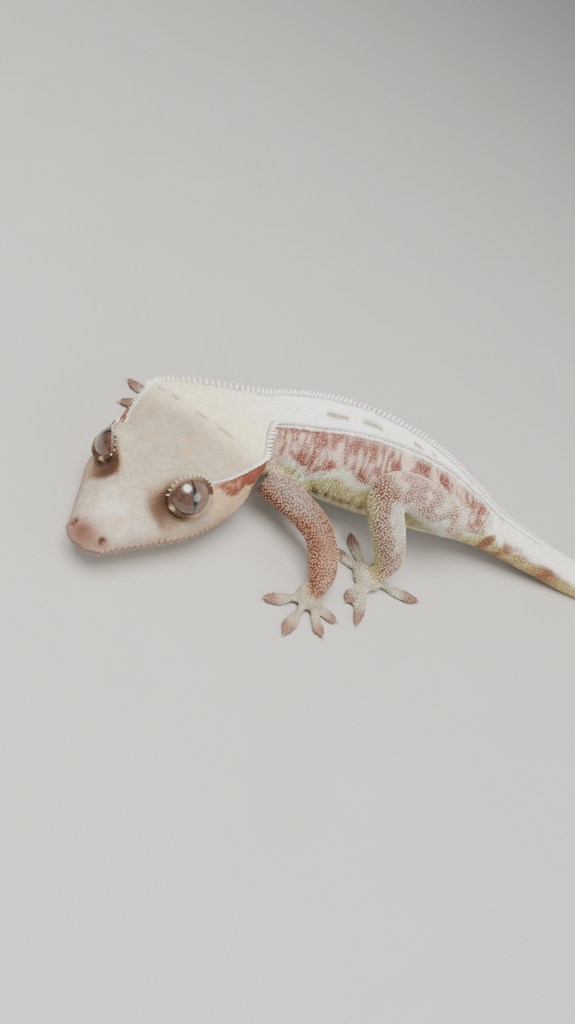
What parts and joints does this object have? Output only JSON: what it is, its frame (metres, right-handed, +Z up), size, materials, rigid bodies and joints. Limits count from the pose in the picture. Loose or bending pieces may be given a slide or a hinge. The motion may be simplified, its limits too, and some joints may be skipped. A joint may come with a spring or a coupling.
{
  "type": "crested gecko",
  "caption": "Life-size still model of a young crested gecko standing low, head turned to its left, with rows of small spines round the crown and along the back and a full tail laid on the floor",
  "frame": {"origin": "middle of the underside of the bounding box, on the floor", "axes": "+X towards the head end of the body, +Y to the animal's left, +Z up"},
  "size_m": [0.1562, 0.056, 0.0249],
  "materials": {
    "head_skin": "dry greige and cream skin of very fine scales",
    "body_skin": "dry granular skin, near white on the back, dusty red and cream on the flanks",
    "tail_skin": "dry granular skin, white above and tan below",
    "leg_skin": "dry red-brown granular skin with pale dots",
    "foot_skin": "pale dry skin with pinkish toe pads",
    "eye": "wet, glossy, brown-grey iris with a slit pupil"
  },
  "bodies": {
    "root": {"head": "head_skin", "eye_left": "eye", "eye_right": "eye", "neck": "body_skin", "torso": "body_skin", "tail_base": "tail_skin", "tail_middle": "tail_skin", "tail_tip": "tail_skin", "upper_arm_left": "leg_skin", "forearm_left": "leg_skin", "forefoot_left": "foot_skin", "thigh_left": "leg_skin", "shank_left": "leg_skin", "hindfoot_left": "foot_skin", "upper_arm_right": "leg_skin", "forearm_right": "leg_skin", "forefoot_right": "foot_skin", "thigh_right": "leg_skin", "shank_right": "leg_skin", "hindfoot_right": "foot_skin"}
  },
  "joints": []
}
